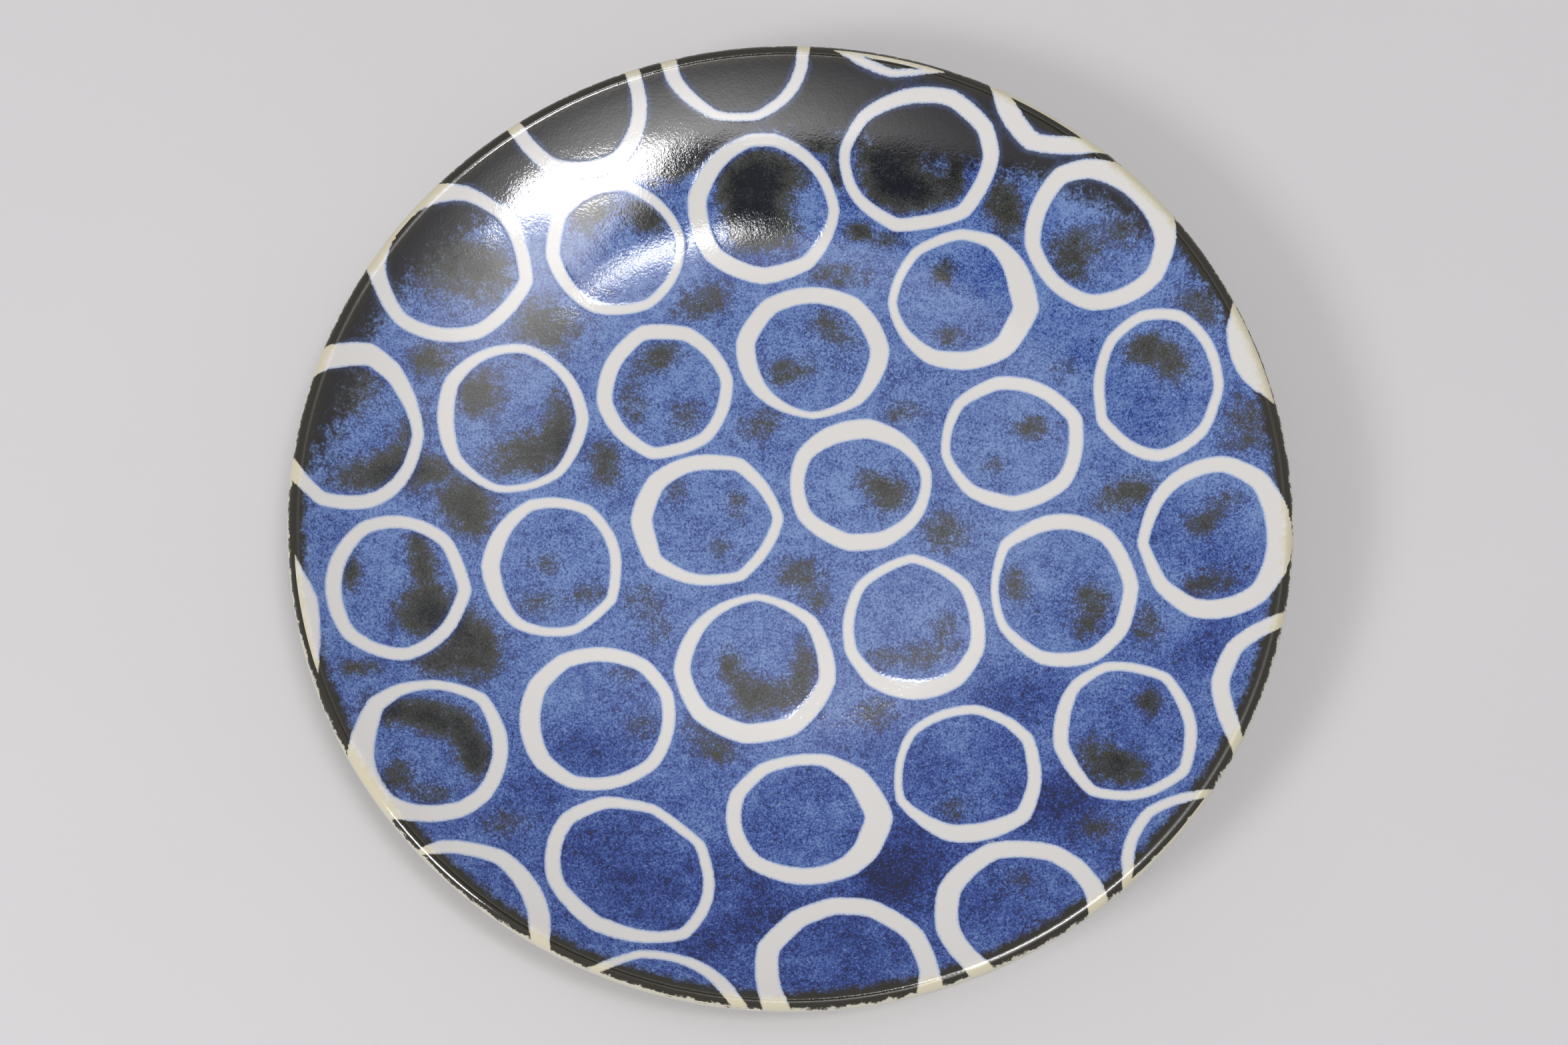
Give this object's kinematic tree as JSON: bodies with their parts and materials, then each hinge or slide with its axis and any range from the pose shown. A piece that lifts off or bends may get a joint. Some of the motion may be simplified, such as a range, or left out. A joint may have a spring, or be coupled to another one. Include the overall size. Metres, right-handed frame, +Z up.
{
  "type": "ceramic plate",
  "caption": "Shallow coupe plate with a curved wall, rounded lip and turned foot ring, its face painted with hand drawn white rings on a mottled blue ground.",
  "frame": {"origin": "middle of the plane that the foot ring stands on, on the plate's own axis", "axes": "+Z up, out of the painted face; X and Y lie in the standing plane, +Y towards the edge that is furthest away in the usual view"},
  "size_m": [0.28, 0.28, 0.03],
  "materials": {
    "clay": "bare fired stoneware, matt",
    "back_glaze": "glossy cream glaze with iron specks",
    "lip_glaze": "glossy, broken from blue to olive brown over the lip",
    "blue": "glossy mottled cobalt blue with iron patches",
    "white": "glossy white brush strokes",
    "gloss": "clear gloss glaze"
  },
  "bodies": {
    "root": {"clay_body": "clay", "foot_ring": "clay", "back_glaze": "back_glaze", "foot_well_glaze": "back_glaze", "lip_glaze": "lip_glaze", "blue_ground": "blue", "ring_centres": "blue", "clear_gloss": "gloss", "ring_01": "white", "ring_02": "white", "ring_03": "white", "ring_04": "white", "ring_05": "white", "ring_06": "white", "ring_07": "white", "ring_08": "white", "ring_09": "white", "ring_10": "white", "ring_11": "white", "ring_12": "white", "ring_13": "white", "ring_14": "white", "ring_15": "white", "ring_16": "white", "ring_17": "white", "ring_18": "white", "ring_19": "white", "ring_20": "white", "ring_21": "white", "ring_22": "white", "ring_23": "white", "ring_24": "white", "ring_25": "white", "ring_26": "white", "ring_27": "white", "ring_28": "white", "ring_29": "white", "ring_30": "white", "ring_31": "white", "ring_32": "white", "ring_33": "white", "ring_34": "white", "ring_35": "white", "ring_36": "white", "ring_37": "white", "ring_38": "white"}
  },
  "joints": []
}
